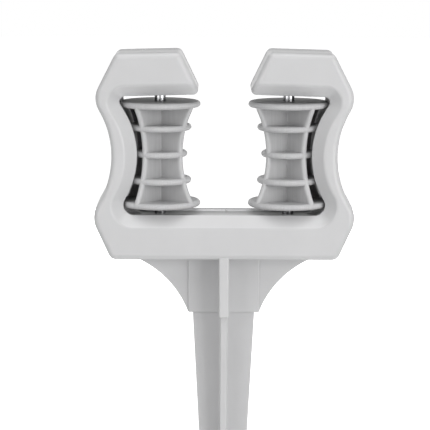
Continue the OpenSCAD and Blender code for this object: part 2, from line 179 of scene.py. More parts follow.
class StakeSizes(bpy.types.PropertyGroup):
    """Sizes of the ground stake"""
    top_w: length("Top width", "Width of the cross under the collar", 0.0338)
    end_w: length("End width", "Width where the point begins", 0.0136)
    seat: length("Seat", "How far the blades reach up into the collar's mouth", 0.003)
    play: length("Play", "Clearance round the blades in the collar's mouth", 0.00012)
    tip_w: length("Tip width", "Width of the blunt tip", 0.0024)
    point_l: length("Point", "Length of the point", 0.028)
    blade_t: length("Blade", "Thickness of the blades", 0.0036)
    root_r: length("Root fillet", "Fillet between two blades", 0.0008)
    tenon_w: length("Tenon width", "Width of the tenon in the collar", 0.0316)
    tenon_t: length("Tenon blade", "Thickness of the tenon's blades", 0.0024)
    hook: length("Hook", "How far each hook of the head stands out over the collar", 0.0036)
    hook_h: length("Hook height", "Height of the hooked head", 0.005)
    edge_r: length("Edge rounding", "Rounding of the blades' edges", 0.0005)


class FinishColours(bpy.types.PropertyGroup):
    """Colours of the moulded plastics and the steel"""
    shell: tint("Front shell", "Plastic of the yoke's front half", (0.59, 0.59, 0.595))
    # Painted shade: the rear half is given a darker colour than the front half of the same plastic
    rear_shell: tint("Rear shell", "Plastic of the yoke's rear half", (0.55, 0.55, 0.555))
    roller: tint("Roller", "Plastic of the rollers", (0.55, 0.55, 0.555))
    stake: tint("Stake", "Plastic of the stake", (0.595, 0.595, 0.60))
    steel: tint("Steel", "Polished pins", (0.50, 0.50, 0.51))
    steel_edge: tint("Steel edge", "Glint at the pins' edges", (0.1, 0.1, 0.1))
    zinc: tint("Zinc", "Plated screws", (0.45, 0.46, 0.47))


class StudioSizes(bpy.types.PropertyGroup):
    """The camera's place and the lamps"""
    camera_place: FloatVectorProperty(
        name="Camera", description="Where the camera stands", default=(-0.00673, -1.0495, 0.21362),
        subtype="XYZ", unit="LENGTH")
    camera_pitch: angle("Camera pitch", "How far the camera looks down", 8.67)
    camera_yaw: angle("Camera yaw", "How far the camera looks towards +X", 0.10)
    camera_roll: angle("Camera roll", "How far the camera is turned about its view", 0.24)
    camera_lens: FloatProperty(name="Lens", description="Focal length in millimetres", default=162.85)
    lamp_distance: length("Lamp distance", "How far the softboxes stand from the head", 1.8)
    lamp_size: length("Lamp size", "Side of the square softboxes", 1.1)
    high_size: length("High lamp size", "Side of the high softbox", 1.5)
    world_light: strength("World", "Strength of the light all round", 0.17)
    right_light: strength("Right lamp", "Power of the right softbox in watts", 18.6)
    left_light: strength("Left lamp", "Power of the left softbox in watts", 9.4)
    high_light: strength("High lamp", "Power of the high front softbox in watts", 14.6)
    back_light: strength("Back lamp", "Power of the softbox behind in watts", 18.0)
    floor_near: strength("Floor by the stake", "Glow of the floor round the stake, below its lamplight", 0.60)
    floor_far: strength("Floor far off", "Glow of the floor far off, where the lamps don't reach", 1.0)
    floor_start: length("Floor glow start", "Distance from the stake at which the glow grows", 0.25)
    floor_end: length("Floor glow end", "Distance from the stake at which the glow is full", 0.6)


def place_of(group):
    """The property group as it is stored on the scene"""
    return getattr(bpy.context.scene, group)


# Plane geometry of the yoke, in X and Z about the middle of the opening.
# A line is its outward normal's angle and its distance from the middle.

def ray(a):
    return Vector((math.cos(a), math.sin(a)))


def arc(centre, r, a1, a2, steps):
    return [centre + r * ray(a1 + (a2 - a1) * i / steps) for i in range(steps + 1)]


def crossing(a1, s1, a2, s2):
    n1, n2 = ray(a1), ray(a2)
    det = n1.x * n2.y - n1.y * n2.x
    return Vector((s1 * n2.y - s2 * n1.y, n1.x * s2 - n2.x * s1)) / det


def corner(a1, s1, a2, s2, r, steps):
    return arc(crossing(a1, s1 - r, a2, s2 - r), r, a1, a2, steps)


def mirrored(points):
    return [Vector((-p.x, p.y)) for p in reversed(points)]


def hourglass(rollers):
    """Waist radius, arc radius and inner face of a flange of the roller's hourglass"""
    waist = rollers.waist_d / 2
    inner = ROLLER_LENGTH / 2 - rollers.ring_t
    rise = FLANGE_R - waist
    return waist, (inner ** 2 + rise ** 2) / 2 / rise, inner


def glass_radius(rollers, z):
    waist, r, _ = hourglass(rollers)
    return waist + r - math.sqrt(r ** 2 - z ** 2)


class YokeOutline:
    """The yoke's outline in front view, which can be taken in on either side"""
    tip_steps, corner_steps, nose_steps, hollow_steps, inner_steps = 14, 10, 22, 36, 22
    smallest = 0.0004
    quarter = math.pi / 2

    def __init__(self, yoke, rollers, further=0.0):
        self.yoke = yoke
        self.low_r = yoke.inner_low_r + yoke.rear_rounding * further
        self.half_head = HEAD_Z - yoke.collar_h
        self.half_open = self.half_head - yoke.bar_h
        self.hollow = Vector((yoke.waist_w / 2 + yoke.hollow_r, 0))
        self.top_nose, self.top_turn = self.nose(yoke.top_w / 2, yoke.nose_top_r)
        self.low_nose, self.low_turn = self.nose(SHELL_HIGH.x, yoke.nose_r)
        self.limb = Vector((AXIS_X + rollers.waist_d / 2 - yoke.limb_reach - further + yoke.limb_r, 0))
        self.arm_a = self.quarter - yoke.arm_lean
        self.top_s = ray(self.arm_a).dot(Vector((AXIS_X, self.half_head)))
        self.under_s = ray(self.arm_a).dot(Vector((self.limb.x - yoke.limb_r, self.half_open)))
        self.top_inner, self.top_inner_turn = self.inner(self.arm_a, self.under_s, yoke.inner_top_r)
        self.low_inner, self.low_inner_turn = self.inner(self.quarter, self.half_open, self.low_r)
        self.tip_a = math.pi - yoke.tip_lean
        self.tip_x = yoke.tip_gap / 2 + yoke.tip_r
        self.tip_s = ray(self.tip_a).dot(self.under(self.tip_x, yoke.tip_r)) + yoke.tip_r

    def nose(self, reach, r):
        """Centre of a nose that touches the hollow, and the angle at which they meet"""
        x = reach - r
        z = math.sqrt((self.yoke.hollow_r + r) ** 2 - (self.hollow.x - x) ** 2)
        return Vector((x, z)), math.atan2(z, self.hollow.x - x)

    def inner(self, a, s, r):
        """Centre of an inner corner below a line, touching the limb, and the angle there"""
        k = s - r - ray(a).dot(self.limb)
        aside = math.sqrt((self.yoke.limb_r + r) ** 2 - k ** 2)
        centre = self.limb + k * ray(a) + aside * ray(a + self.quarter)
        return centre, math.atan2(centre.y, self.limb.x - centre.x)

    def outer_half(self, o, b, groove=0.0):
        """From the arm's tip round to the base bar; the groove ends before the tip"""
        y = self.yoke
        end = self.tip_x + y.groove_end
        start = [self.under(end, b + groove), self.under(end - y.groove_fade, b)]
        low_nose = Vector((self.low_nose.x, -self.low_nose.y))
        flank_s = ray(y.flank_top).dot(self.top_nose) + y.nose_top_r - o
        low_s = ray(y.flank_low).dot(self.low_nose) + y.nose_r - o
        points = start + corner(self.arm_a + math.pi, -self.under_s - b, self.tip_a, self.tip_s - o,
                                y.tip_r - y.tip_sharpen * b, self.tip_steps)
        points += corner(self.tip_a, self.tip_s - o, self.arm_a, self.top_s - o,
                         max(y.tip_top_r - o, self.smallest), self.corner_steps)
        points += corner(self.arm_a, self.top_s - o, y.flank_top, flank_s,
                         y.top_corner_r - o, self.corner_steps)
        points += arc(self.top_nose, y.nose_top_r - o, y.flank_top, -self.top_turn, self.nose_steps)
        points += arc(self.hollow, y.hollow_r + o, math.pi - self.top_turn,
                      math.pi + self.low_turn, self.hollow_steps)[1:-1]
        points += arc(low_nose, y.nose_r - o, self.low_turn, -y.flank_low, self.nose_steps)
        points += corner(-y.flank_low, low_s, -self.quarter, self.half_head - o,
                         y.low_corner_r - o, self.corner_steps)
        return points

    def under(self, x, b):
        """Point of the arm's underside, taken in by b"""
        up = ray(self.arm_a)
        return Vector((x, (self.under_s + b - up.x * x) / up.y))

    def inner_half(self, b):
        y = self.yoke
        low_inner = Vector((self.low_inner.x, -self.low_inner.y))
        points = arc(self.top_inner, y.inner_top_r + b, self.arm_a, -self.top_inner_turn, self.inner_steps)
        points += arc(self.limb, y.limb_r - b, math.pi - self.top_inner_turn,
                      math.pi + self.low_inner_turn, self.hollow_steps)[1:-1]
        points += arc(low_inner, self.low_r + b, self.low_inner_turn, -self.quarter, self.inner_steps)
        return points

    def loop(self, o, b, groove=0.0):
        """The whole outline, clockwise from the right arm's tip"""
        outer, inner = self.outer_half(o, b, groove), self.inner_half(b + groove)
        return outer + mirrored(outer) + list(reversed(mirrored(inner))) + list(reversed(inner))


# Mesh building

def new_piece(name, bm):
    """An object on the scene from a mesh in the making, its faces turned outwards"""
    mesh = bpy.data.meshes.new(name)
    bmesh.ops.recalc_face_normals(bm, faces=bm.faces)
    bm.to_mesh(mesh)
    bm.free()
    piece = bpy.data.objects.new(name, mesh)
    bpy.context.scene.collection.objects.link(piece)
    return piece


def lofted(rings):
    """A closed skin over rings of points, with a flat face at each end"""
    bm = bmesh.new()
    rows = [[bm.verts.new(p) for p in ring] for ring in rings]
    for low, high in zip(rows, rows[1:]):
        for i in range(len(low)):
            j = (i + 1) % len(low)
            bm.faces.new((low[i], low[j], high[j], high[i]))
    bm.faces.new(reversed(rows[0]))
    bm.faces.new(rows[-1])
    return bm


def revolved(profile, centre, steps=144):
    """A solid turned about an upright axis from points of radius and height"""
    bm = bmesh.new()
    rows = []
    # Rounded, so that points meant to lie in a plane through the axis lie in it exactly
    angles = [2 * math.pi * i / steps for i in range(steps)]
    turns = [(round(math.cos(a), 12), round(math.sin(a), 12)) for a in angles]
    for r, z in profile:
        if r == 0:
            rows.append([bm.verts.new((centre.x, centre.y, centre.z + z))])
        else:
            rows.append([bm.verts.new((centre.x + r * x, centre.y + r * y, centre.z + z)) for x, y in turns])
    pairs = list(zip(rows, rows[1:]))
    if len(rows[0]) > 1:
        pairs.append((rows[-1], rows[0]))
    for a, b in pairs:
        for i in range(steps):
            j = (i + 1) % steps
            ring = [a[i], a[j], b[j], b[i]] if len(a) > 1 and len(b) > 1 else (
                [a[i], a[j], b[0]] if len(a) > 1 else [a[0], b[j], b[i]])
            bm.faces.new(ring)
    return bm


def block(low, high, edge=0.0, steps=3):
    """A box with rounded edges"""
    bm = bmesh.new()
    bmesh.ops.create_cube(bm, size=1)
    low, high = Vector(low), Vector(high)
    for v in bm.verts:
        v.co = Vector((low[k] + (high[k] - low[k]) * (v.co[k] + 0.5) for k in range(3)))
    if edge:
        bmesh.ops.bevel(bm, geom=bm.edges[:], offset=edge, segments=steps, profile=0.5, affect="EDGES")
    return bm


def plate(points, y_low, y_high, edge=0.0, steps=3):
    """A flat plate in X and Z between two depths, its edges rounded"""
    bm = lofted([[(p[0], y, p[1]) for p in points] for y in (y_low, y_high)])
    if edge:
        sharp = math.radians(35)
        rim = [e for e in bm.edges if e.calc_face_angle(0) > sharp]
        bmesh.ops.bevel(bm, geom=rim, offset=edge, segments=steps, profile=0.5, affect="EDGES")
    return bm


def combine(piece, others, how):
    """Joins the other solids to the piece or cuts them from it, and clears them away"""
    for other in others:
        step = piece.modifiers.new(how, "BOOLEAN")
        step.operation = how
        step.solver = "EXACT"
        step.object = other
        bpy.context.view_layer.update()
        made = bpy.data.meshes.new_from_object(piece.evaluated_get(bpy.context.evaluated_depsgraph_get()))
        piece.modifiers.remove(step)
        old = piece.data
        piece.data = made
        bpy.data.meshes.remove(old)
        gone = other.data
        bpy.data.objects.remove(other)
        bpy.data.meshes.remove(gone)


def smooth(piece, degrees=32):
    """Smooth shading in which edges sharper than the angle stay sharp and flat faces flat"""
    weld = 1e-7
    bm = bmesh.new()
    bm.from_mesh(piece.data)
    bmesh.ops.remove_doubles(bm, verts=bm.verts, dist=weld)
    bmesh.ops.dissolve_degenerate(bm, edges=bm.edges, dist=weld)
    # Hair gaps that a cut can leave between faces
    bmesh.ops.holes_fill(bm, edges=[e for e in bm.edges if e.is_boundary], sides=4)
    bm.to_mesh(piece.data)
    bm.free()
    piece.data.shade_smooth()
    piece.data.set_sharp_from_angle(angle=math.radians(degrees))
    weigh = piece.modifiers.new("Weighted normals", "WEIGHTED_NORMAL")
    weigh.keep_sharp = True
    weigh.weight = 100


def finish_piece(piece, body, material, nodes):
    """Smooths the piece, gives it its material and its body, and hides the nodes it stands for"""
    smooth(piece)
    piece.data.materials.clear()
    piece.data.materials.append(material)
    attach(piece, body)
    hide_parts(*nodes)


# Materials

class Nodes:
    """Short ways to add and join the nodes of one material or world"""

    def __init__(self, owner):
        self.material = owner
        owner.use_nodes = True
        self.tree = owner.node_tree
        self.tree.nodes.clear()

    def add(self, kind, **values):
        """A node with values for its attributes and sockets, a space in a socket's name written as _"""
        made = self.tree.nodes.new(kind)
        for key, value in values.items():
            if hasattr(made, key):
                setattr(made, key, value)
            else:
                made.inputs[key.replace("_", " ")].default_value = value
        return made

    def join(self, source, output, target, socket):
        self.tree.links.new(source.outputs[output], target.inputs[socket])

    def ramp(self, source, output, low, high):
        """A colour ramp between two places, each given as (position, colour)"""
        made = self.add("ShaderNodeValToRGB")
        for element, (position, colour) in zip(made.color_ramp.elements, (low, high)):
            element.position = position
            element.color = (*[min(c, 1) for c in colour], 1)
        self.join(source, output, made, "Fac")
        return made

    def spread(self, source, output, low, high, start=0.0, end=1.0):
        """Maps a value from start..end to low..high"""
        made = self.add("ShaderNodeMapRange")
        for socket, value in (("From Min", start), ("From Max", end), ("To Min", low), ("To Max", high)):
            made.inputs[socket].default_value = value
        self.join(source, output, made, "Value")
        return made

    def calc(self, operation, *terms):
        """A math node whose terms are numbers or (node, output) pairs"""
        made = self.add("ShaderNodeMath", operation=operation)
        for i, term in enumerate(terms):
            if isinstance(term, tuple):
                self.join(*term, made, i)
            else:
                made.inputs[i].default_value = term
        return made

    def split(self, source, output):
        """The three parts of a vector"""
        parts = self.add("ShaderNodeSeparateXYZ")
        self.join(source, output, parts, "Vector")
        return parts

    def noise(self, place, stretched=None, **values):
        """Noise laid out along the object's own axes, which may be stretched first"""
        made = self.add("ShaderNodeTexNoise", **values)
        source, output = place, "Object"
        if stretched:
            source, output = self.add("ShaderNodeMapping"), "Vector"
            source.inputs["Scale"].default_value = stretched
            self.join(place, "Object", source, "Vector")
        self.join(source, output, made, "Vector")
        return made

    def bump(self, height, skin, **values):
        """Lets noise roughen a surface"""
        made = self.add("ShaderNodeBump", **values)
        self.join(height, "Fac", made, "Height")
        self.join(made, "Normal", skin, "Normal")


def moulded_plastic(name, colour, roughness, mirror, shades=()):
    """Satin moulded plastic: faint cloudiness in colour and gloss, a fine grain, and factors on its colour in
    places, among them painted shade and painted light
    """
    n = Nodes(bpy.data.materials.new(name))
    out = n.add("ShaderNodeOutputMaterial")
    skin = n.add("ShaderNodeBsdfPrincipled", IOR=1.49, Specular_IOR_Level=mirror)
    place = n.add("ShaderNodeTexCoord")
    cloud = n.noise(place, Scale=38.0, Detail=4.0, Roughness=0.55)
    darkest, palest = 0.975, 1.02
    last = n.ramp(cloud, "Fac", (0.30, [c * darkest for c in colour]), (0.72, [c * palest for c in colour]))
    for shade in shades:
        both = n.add("ShaderNodeVectorMath", operation="MULTIPLY")
        n.join(last, 0, both, 0)
        n.join(shade(n, place), 0, both, 1)
        last = both
    n.join(last, 0, skin, "Base Color")
    flow = n.noise(place, Scale=120.0, Detail=3.0)
    gloss = n.spread(flow, "Fac", roughness - 0.04, roughness + 0.05)
    n.join(gloss, "Result", skin, "Roughness")
    fine = n.noise(place, Scale=2600.0, Detail=2.0, Roughness=0.6)
    n.bump(fine, skin, Strength=0.12, Distance=0.00002)
    n.join(skin, "BSDF", out, "Surface")
    return n.material


# Painted shade and painted light that a plastic takes in places, and its faint streaks, each a factor on its
# colour

def outward(n):
    """The three parts of the direction in which a face looks; Z is 1 where that is straight up"""
    return n.split(n.add("ShaderNodeNewGeometry"), "Normal")


def window(n, source, output, low, high, fade=FADE):
    """1 between two values, falling to 0 beside them"""
    rise = n.spread(source, output, 0.0, 1.0, low - fade, low)
    fall = n.spread(source, output, 1.0, 0.0, high, high + fade)
    return n.calc("MULTIPLY", (rise, "Result"), (fall, "Result"))


def painted_shade_on_level_faces(n, place):
    """Painted shade: a little darker on faces that lie level and look up"""
    nearly, level = 0.93, 0.995
    return n.spread(outward(n), "Z", 1.0, place_of("hose_guide_yoke").level_painted_shade, nearly, level)


def painted_light_on_slopes(n, place):
    """Painted light: a little paler on bevels and rounded edges that lean up or down by about 45 degrees"""
    least, most, fade = 0.6, 0.8, 0.15
    slope = window(n, n.calc("ABSOLUTE", (outward(n), "Z")), 0, least, most, fade)
    return n.spread(slope, 0, 1.0, place_of("hose_guide_yoke").slope_painted_light)


def painted_highlight_on_walls(n, place):
    """Painted highlight: paler on the groove's walls over the base bar, between the rollers' axes"""
    yoke = place_of("hose_guide_yoke")
    floor = yoke.collar_h + yoke.bar_h
    wall_y = HALF_DEPTH - yoke.bevel - yoke.lip
    inwards = 2 * MM
    parts = n.split(place, "Object")
    depth = window(n, n.calc("ABSOLUTE", (parts, "Y")), 0, wall_y - inwards, wall_y + FADE)
    height = window(n, parts, "Z", floor - yoke.groove + FADE, floor + FADE)
    across = window(n, parts, "X", -AXIS_X, AXIS_X)
    both = n.calc("MULTIPLY", (depth, 0), (height, 0))
    return n.spread(n.calc("MULTIPLY", (both, 0), (across, 0)), 0, 1.0, yoke.wall_painted_highlight)


def painted_shade_in_pockets(n, place):
    """Painted shade: darker between the fins and on the flat ends of the flanges than on the fins' edges and
    the rims
    """
    rollers = place_of("hose_guide_rollers")
    waist, r, _ = hourglass(rollers)
    parts = n.split(place, "Object")
    side = n.calc("ABSOLUTE", (parts, "X"))
    across = n.calc("SUBTRACT", (side, 0), AXIS_X)
    reach2 = n.calc("MULTIPLY_ADD", (across, 0), (across, 0), (n.calc("POWER", (parts, "Y"), 2.0), 0))
    reach = n.calc("SQRT", (reach2, 0))
    height = n.calc("SUBTRACT", (parts, "Z"), HEAD_Z)
    arch = n.calc("SQRT", (n.calc("SUBTRACT", r ** 2, (n.calc("POWER", (height, 0), 2.0), 0)), 0))
    glass = n.calc("SUBTRACT", waist + r, (arch, 0))
    inside = n.calc("SUBTRACT", (glass, 0), (reach, 0))
    starts, full = rollers.fin_t * 0.35, rollers.fin_t * 0.75
    pocket = n.spread(inside, 0, 1.0, rollers.pocket_painted_shade, starts, full)
    far = n.calc("ABSOLUTE", (height, 0))
    half = ROLLER_LENGTH / 2
    # Painted shade on the flanges' flat ends, which lie in the shade under the arms
    end = n.spread(far, 0, 1.0, rollers.end_painted_shade, half - 0.2 * MM, half - 0.05 * MM)
    return n.calc("MULTIPLY", (pocket, "Result"), (end, "Result"))


def upright_streaks(n, place):
    """Faint upright streaks"""
    streaks = n.noise(place, (1500, 1500, 30), Scale=1.0, Detail=2.0)
    return n.spread(streaks, "Fac", low=0.95, high=1.04, start=0.3, end=0.7)


# The shells take painted shade and painted light; the rollers take painted shade in their pockets and faint
# upright streaks
SHELL_PAINTED_SHADE_AND_LIGHT = (painted_shade_on_level_faces, painted_light_on_slopes, painted_highlight_on_walls)
ROLLER_PAINTED_SHADE_AND_STREAKS = (painted_shade_in_pockets, upright_streaks)


def ground_steel(name, colour, roughness, stretched, edge):
    """Metal with fine streaks, and a tint of its own where it is seen edge-on"""
    n = Nodes(bpy.data.materials.new(name))
    out = n.add("ShaderNodeOutputMaterial")
    metal = n.add("ShaderNodeBsdfPrincipled", Metallic=1.0, Specular_Tint=(*edge, 1))
    place = n.add("ShaderNodeTexCoord")
    streaks = n.noise(place, stretched, Scale=1.0, Detail=3.0)
    darkest = 0.7
    tones = n.ramp(streaks, "Fac", (0.35, [c * darkest for c in colour]), (0.65, colour))
    n.join(tones, "Color", metal, "Base Color")
    gloss = n.spread(streaks, "Fac", roughness * 0.8, roughness * 1.3)
    n.join(gloss, "Result", metal, "Roughness")
    n.bump(streaks, metal, Strength=0.08, Distance=0.00001)
    n.join(metal, "BSDF", out, "Surface")
    return n.material


def pale_floor_paint(name, studio):
    """A pale floor that is white to the camera and in reflections but still takes a shadow"""
    n = Nodes(bpy.data.materials.new(name))
    paint = n.add("ShaderNodeBsdfDiffuse", Color=(0.8, 0.8, 0.8, 1))
    place = n.add("ShaderNodeTexCoord")
    away = n.add("ShaderNodeVectorMath", operation="LENGTH")
    n.join(place, "Object", away, 0)
    glow = n.spread(away, "Value", studio.floor_near, studio.floor_far, studio.floor_start, studio.floor_end)
    glow.interpolation_type = "SMOOTHSTEP"
    light = n.add("ShaderNodeEmission")
    n.join(glow, "Result", light, "Strength")
    both = n.add("ShaderNodeAddShader")
    n.join(paint, "BSDF", both, 0)
    n.join(light, "Emission", both, 1)
    by_ray(n, n.add("ShaderNodeOutputMaterial"), paint, both)
    return n.material


def by_ray(n, out, plain, seen):
    """Shows the seen shader to the camera, also by way of glossy or clear surfaces, and else the plain one"""
    path = n.add("ShaderNodeLightPath")
    direct = n.calc("MAXIMUM", (path, "Is Camera Ray"), (path, "Is Glossy Ray"))
    mix = n.add("ShaderNodeMixShader")
    n.join(n.calc("MAXIMUM", (direct, 0), (path, "Is Transmission Ray")), "Value", mix, "Fac")
    n.join(plain, 0, mix, 1)
    n.join(seen, 0, mix, 2)
    n.join(mix, "Shader", out, "Surface")


# The pieces

def section_insets(yoke):
    """Depth from the face, outer inset, inner inset and groove of each ring of a shell's loft"""
    edge, blend, soft = yoke.edge_r, yoke.bevel_blend, CREST_R
    edge_steps, blend_steps, crest_steps = 12, 6, 5
    start = yoke.bevel + blend * math.tan(math.pi / 8)
    crest = yoke.bevel + soft * math.tan(math.pi / 8)
    lip_end = yoke.bevel + yoke.lip

    def outer(d):
        if d < edge:
            return edge - math.sqrt(edge ** 2 - (edge - d) ** 2)
        return max(0, d - HALF_DEPTH + yoke.seam)

    def inner(d):
        if d < blend * (1 - math.sqrt(0.5)):
            return start - math.sqrt(blend ** 2 - (blend - d) ** 2)
        if d < crest - soft * math.sqrt(0.5):
            return yoke.bevel - d
        if d < crest:
            return soft - math.sqrt(soft ** 2 - (crest - d) ** 2)
        return 0

    depths = {edge * (1 - math.cos(math.pi / 2 * i / edge_steps)) for i in range(edge_steps + 1)}
    depths |= {blend * (1 - math.cos(math.pi / 4 * i / blend_steps)) for i in range(blend_steps + 1)}
    depths |= {crest - soft * math.sin(math.pi / 4 * i / crest_steps) for i in range(crest_steps + 1)}
    depths |= {lip_end, lip_end + yoke.groove_step, HALF_DEPTH - yoke.seam, HALF_DEPTH}
    return [(d, outer(d), inner(d), yoke.groove if d > lip_end else 0) for d in sorted(depths)]


def scoop_profile(yoke, rollers):
    """Half outline of the space that a roller needs"""
    _, _, inner = hourglass(rollers)
    clear, steps = yoke.roller_clear, 16
    r = FLANGE_R + clear
    z_in, z_out = inner - clear, ROLLER_LENGTH / 2 + clear
    heights = [z_in * i / steps for i in range(1 - steps, steps)]
    curve = [(glass_radius(rollers, z) + clear, z) for z in heights]
    return [(0, -z_out), (r, -z_out), (r, -z_in)] + curve + [(r, z_in), (r, z_out), (0, z_out)]


def gusset_points(yoke, side, top):
    """The gusset's outline on one side, with its hollow edge as an arc"""
    foot = Vector((yoke.collar_w / 2, 0))
    head = Vector((yoke.gusset_reach, yoke.collar_h))
    chord = head - foot
    reach = math.sqrt(yoke.gusset_r ** 2 - (chord.length / 2) ** 2)
    centre = foot + chord / 2 + reach * Vector((chord.y, -chord.x)).normalized()
    a1 = math.atan2(*(foot - centre).yx)
    a2 = math.atan2(*(head - centre).yx)
    curve = arc(centre, yoke.gusset_r, a1 % (2 * math.pi), a2 % (2 * math.pi), steps=40)
    points = [Vector((0, 0))] + curve + [Vector((yoke.gusset_reach, top)), Vector((0, top))]
    return [Vector((side * p.x, p.y)) for p in points]


def shell(name, front):
    """One half of the yoke with its half of the collar and gussets"""
    yoke, rollers = place_of("hose_guide_yoke"), place_of("hose_guide_rollers")
    outline = YokeOutline(yoke, rollers, 0 if front else yoke.rear_reach)
    face = -1 if front else 1
    rings = [[(p.x, face * (HALF_DEPTH - d), p.y + HEAD_Z) for p in outline.loop(o, b, groove)]
             for d, o, b, groove in section_insets(yoke)]
    piece = new_piece(name, lofted(rings))
    half_w, half_t, web_break = yoke.collar_w / 2, yoke.collar_t / 2, yoke.edge_break
    rib_break, gusset_break = web_break * 2, web_break * 0.8
    top = yoke.collar_h + yoke.wall / 2
    collar = new_piece("web", block((-half_w, -half_t, 0), (half_w, half_t + OVERLAP, top), web_break))
    adds = [new_piece("rib", block((-half_t, -half_w, 0), (half_t, OVERLAP, top), rib_break))]
    for side in (-1, 1):
        points = gusset_points(yoke, side, top)
        adds.append(new_piece("gusset", plate(points, -yoke.gusset_t / 2, OVERLAP, gusset_break)))
    combine(collar, adds, "UNION")
    if not front:
        collar.data.transform(Matrix.Scale(-1, 4, (0, 1, 0)))
        collar.data.flip_normals()
    far = 0.1
    if front:
        half_space = block((-far, PARTING_GAP, -far), (far, far, far))
    else:
        half_space = block((-far, -far, -far), (far, -PARTING_GAP, far))
    combine(collar, [new_piece("half_space", half_space)], "DIFFERENCE")
    combine(piece, [collar], "UNION")
    cuts = []
    for side in (-1, 1):
        axle = Vector((side * AXIS_X, 0, HEAD_Z))
        cuts.append(new_piece("scoop", revolved(scoop_profile(yoke, rollers), axle)))
        seat_h, seat_r = PIN_HIGH.z - HEAD_Z + PIN_FLOAT, PIN_R + PIN_PLAY
        seat = [(0, -seat_h), (seat_r, -seat_h), (seat_r, seat_h), (0, seat_h)]
        cuts.append(new_piece("pin_seat", revolved(seat, axle, steps=64)))
    cuts += socket() + [cavity(outline, yoke, front)]
    combine(piece, cuts, "DIFFERENCE")
    return piece


def cross_hole(half_w, half_t, top):
    """Two crossing slots up from the collar's lower end"""
    return [new_piece("slot", block((-half_w, -half_t, -MM), (half_w, half_t, top))),
            new_piece("slot", block((-half_t, -half_w, -MM), (half_t, half_w, top)))]


def socket():
    """The hole for the tenon, wider in the collar's mouth, where the blades are seated"""
    stake = place_of("hose_guide_stake")
    play = stake.play
    return (cross_hole(stake.top_w / 2 + play, stake.blade_t / 2 + play, stake.seat)
            + cross_hole(stake.tenon_w / 2 + play, stake.tenon_t / 2 + play, STAKE_HIGH.z))


def cavity(outline, yoke, front):
    """The hollow inside a shell, with screw bosses and the pins' bearing blocks left standing"""
    face = -1 if front else 1
    depth = HALF_DEPTH - yoke.wall
    points = outline.loop(yoke.wall, yoke.limb_reach + yoke.roller_clear + yoke.wall)
    hollow = new_piece("hollow", lofted([[(p.x, y, p.y + HEAD_Z) for p in points]
                                         for y in (-face * MM, face * depth)]))
    block_r = PIN_R + yoke.block_wall
    block_top = PIN_HIGH.z + yoke.wall
    block_low = 2 * HEAD_Z - block_top
    left = [new_piece("bearing_block", block((side * AXIS_X - block_r, -HALF_DEPTH, block_low),
                                             (side * AXIS_X + block_r, HALF_DEPTH, block_top)))
            for side in (-1, 1)]
    left += [new_piece("boss", rod(place, yoke.boss_r, -HALF_DEPTH, HALF_DEPTH))
             for place in screw_centres()]
    combine(hollow, left, "DIFFERENCE")
    return hollow


def rod(place, r, y_low, y_high):
    """A round bar along Y through a place in X and Z"""
    bm = revolved([(0, y_low), (r, y_low), (r, y_high), (0, y_high)], Vector(), steps=48)
    bm.transform(Matrix.Rotation(-math.pi / 2, 4, "X"))
    bm.transform(Matrix.Translation((place.x, 0, place.z)))
    return bm


def roller_mesh(name, side, turn):
    """A roller: rings and flanges turned in one profile, joined to the swept fins"""
    rollers = place_of("hose_guide_rollers")
    _, _, inner = hourglass(rollers)
    half_t, rim_steps = rollers.ring_t / 2, 16
    hub = rollers.hub_d / 2
    end = ROLLER_LENGTH / 2
    profile = [(PIN_R, -end)]
    for z in (-inner - half_t, -rollers.ring_pitch, 0, rollers.ring_pitch, inner + half_t):
        r = FLANGE_R if abs(z) > inner else glass_radius(rollers, z)
        rim = [(r - half_t + half_t * math.cos(a), z + half_t * math.sin(a))
               for a in [math.pi * (i / rim_steps - 0.5) for i in range(rim_steps + 1)]]
        profile += [(hub, z - half_t)] + rim + [(hub, z + half_t)]
    profile.append((PIN_R, end))
    axle = Vector((side * AXIS_X, 0, HEAD_Z))
    piece = new_piece(name, revolved(profile, axle, steps=160))
    combine(piece, [new_piece("fins", fin_sweep(rollers, axle, inner, turn))], "UNION")
    bore = [(0, -2 * end), (PIN_R, -2 * end), (PIN_R, 2 * end), (0, 2 * end)]
    combine(piece, [new_piece("bore", revolved(bore, axle, steps=64))], "DIFFERENCE")
    return piece


def fin_sweep(rollers, axle, inner, turn):
    """Four fins with rounded edges, drawn in along the hourglass"""
    steps, rim_steps, fins = 48, 12, 4
    half_edge, half_root = rollers.fin_t / 2, rollers.fin_root_t / 2
    root = half_root + 0.1 * MM
    reach = inner + rollers.ring_t / 4
    rings = []
    for k in range(steps + 1):
        z = inner * (2 * k / steps - 1)
        r = glass_radius(rollers, z) - half_edge
        ring = []
        for f in range(fins):
            a = turn + 2 * math.pi * f / fins
            out, across = ray(a), ray(a + math.pi / 2)
            ring.append(root * out - half_root * across)
            ring += arc(r * out, half_edge, a - math.pi / 2, a + math.pi / 2, rim_steps)
            ring.append(root * out + half_root * across)
        height = math.copysign(reach, z) if k in (0, steps) else z
        rings.append([(axle.x + p.x, axle.y + p.y, axle.z + height) for p in ring])
    return lofted(rings)


